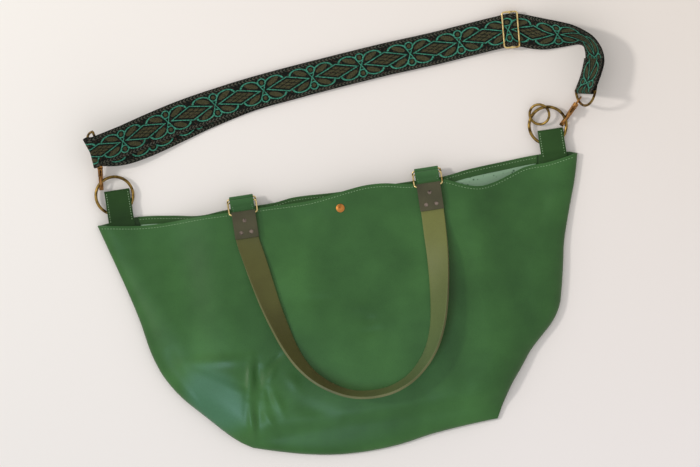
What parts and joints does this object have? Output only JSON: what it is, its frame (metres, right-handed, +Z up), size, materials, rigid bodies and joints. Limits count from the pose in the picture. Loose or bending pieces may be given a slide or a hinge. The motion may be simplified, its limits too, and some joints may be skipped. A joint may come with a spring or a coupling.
{
  "type": "trapeze bag",
  "caption": "Trapeze leather tote with ring-hung carrying handles and a clip-on woven shoulder strap with a slider, lying flat.",
  "frame": {"origin": "on the floor under the middle of the base edge, on the flat strip the bag rests on", "axes": "the bag lies on its back: +Y runs from the base to the mouth, +Z is up out of the front panel, +X to the wearer's right side of the picture"},
  "size_m": [0.616, 0.4845, 0.0551],
  "materials": {
    "body_leather": "smooth satin green leather",
    "tab_leather": "dark green leather with stitched edges",
    "lining_cloth": "light sage woven lining",
    "handle_leather": "olive leather with painted edges",
    "chape_leather": "dark olive grey leather",
    "webbing": "woven jacquard webbing",
    "hook_brass": "antique bronze finish, polished edges",
    "rivet_brass": "domed copper coloured rivets",
    "pale_brass": "pale gold wire, polished",
    "ring_brass": "antique brass, worn bright on the high side"
  },
  "bodies": {
    "bag": {"front_panel": "body_leather", "back_panel": "body_leather", "lining_front": "lining_cloth", "lining_back": "lining_cloth", "hem_front": "body_leather", "hem_back": "body_leather", "front_tab_left": "tab_leather", "front_tab_right": "tab_leather", "back_tab_left": "tab_leather", "back_tab_right": "tab_leather", "snap_cap_front": "ring_brass", "snap_cap_back": "ring_brass", "snap_socket": "ring_brass", "snap_stud": "ring_brass", "side_tab_root_left": "tab_leather", "side_tab_root_right": "tab_leather"},
    "front_rings": {"front_ring_left": "pale_brass", "front_ring_right": "pale_brass"},
    "front_handle": {"front_handle_strap": "handle_leather", "front_chape_left": "chape_leather", "front_chape_right": "chape_leather", "front_handle_rivets": "rivet_brass"},
    "back_rings": {"back_ring_left": "pale_brass", "back_ring_right": "pale_brass"},
    "back_handle": {"back_handle_strap": "handle_leather", "back_chape_left": "chape_leather", "back_chape_right": "chape_leather", "back_handle_rivets": "rivet_brass"},
    "shoulder_strap": {"side_tab_left": "tab_leather", "side_tab_right": "tab_leather", "swivel_eye_left": "hook_brass", "swivel_eye_right": "hook_brass", "d_ring_left": "ring_brass", "d_ring_right": "ring_brass", "strap_webbing": "webbing", "slider_frame": "pale_brass", "slider_bar": "pale_brass"},
    "left_ring": {"round_ring_left": "ring_brass"},
    "right_ring": {"round_ring_right": "ring_brass"},
    "spare_ring": {"small_ring": "ring_brass"},
    "left_hook": {"hook_left": "hook_brass"},
    "right_hook": {"hook_right": "hook_brass"},
    "left_bolt": {"hook_bolt_left": "hook_brass"},
    "right_bolt": {"hook_bolt_right": "hook_brass"}
  },
  "joints": [
    {"name": "front_handle_lift", "type": "hinge", "parent": "bag", "child": "front_rings", "pos_m": [0, 0.2934, 0.0178], "axis": [-1, 0, 0], "range_deg": [0, 110]},
    {"name": "front_handle_turn", "type": "hinge", "parent": "front_rings", "child": "front_handle", "pos_m": [0, 0.2786, 0.02575], "axis": [-1, 0, 0], "range_deg": [0, 55]},
    {"name": "back_handle_lift", "type": "hinge", "parent": "bag", "child": "back_rings", "pos_m": [0, 0.2972, 0.0128], "axis": [1, 0, 0], "range_deg": [0, 110]},
    {"name": "back_handle_turn", "type": "hinge", "parent": "back_rings", "child": "back_handle", "pos_m": [0, 0.28209, 0.00545], "axis": [1, 0, 0], "range_deg": [0, 55]},
    {"name": "strap_lift", "type": "hinge", "parent": "bag", "child": "shoulder_strap", "pos_m": [0, 0.291, 0.0063], "axis": [1, 0, 0], "range_deg": [0, 75]},
    {"name": "left_ring_spin", "type": "hinge", "parent": "shoulder_strap", "child": "left_ring", "pos_m": [-0.259, 0.3225, 0.0063], "axis": [0, 0, 1], "continuous": true},
    {"name": "right_ring_spin", "type": "hinge", "parent": "shoulder_strap", "child": "right_ring", "pos_m": [0.2545, 0.327, 0.0063], "axis": [0, 0, 1], "continuous": true},
    {"name": "spare_ring_spin", "type": "hinge", "parent": "shoulder_strap", "child": "spare_ring", "pos_m": [0.24677, 0.34124, 0.0063], "axis": [-0.2691, -0.1461, 0.952], "continuous": true},
    {"name": "left_hook_swivel", "type": "hinge", "parent": "shoulder_strap", "child": "left_hook", "pos_m": [-0.2723, 0.3397, 0.0063], "axis": [0.0846, 0.9666, 0.2419], "range_deg": [-8, 25]},
    {"name": "left_bolt_slide", "type": "slide", "parent": "left_hook", "child": "left_bolt", "axis": [0.0846, 0.9666, 0.2419], "range_m": [0, 0.007], "stiffness_N_per_m": 60, "springref_m": -0.004},
    {"name": "right_hook_swivel", "type": "hinge", "parent": "shoulder_strap", "child": "right_hook", "pos_m": [0.2759, 0.331, 0.0063], "axis": [0.6892, 0.7237, 0.0349], "range_deg": [-25, 25]},
    {"name": "right_bolt_slide", "type": "slide", "parent": "right_hook", "child": "right_bolt", "axis": [0.6892, 0.7237, 0.0349], "range_m": [0, 0.007], "stiffness_N_per_m": 60, "springref_m": -0.004}
  ],
  "couplings": [
    {"joint": "front_handle_turn", "follows": "front_handle_lift", "ratio": 0.5},
    {"joint": "back_handle_turn", "follows": "back_handle_lift", "ratio": 0.5}
  ]
}
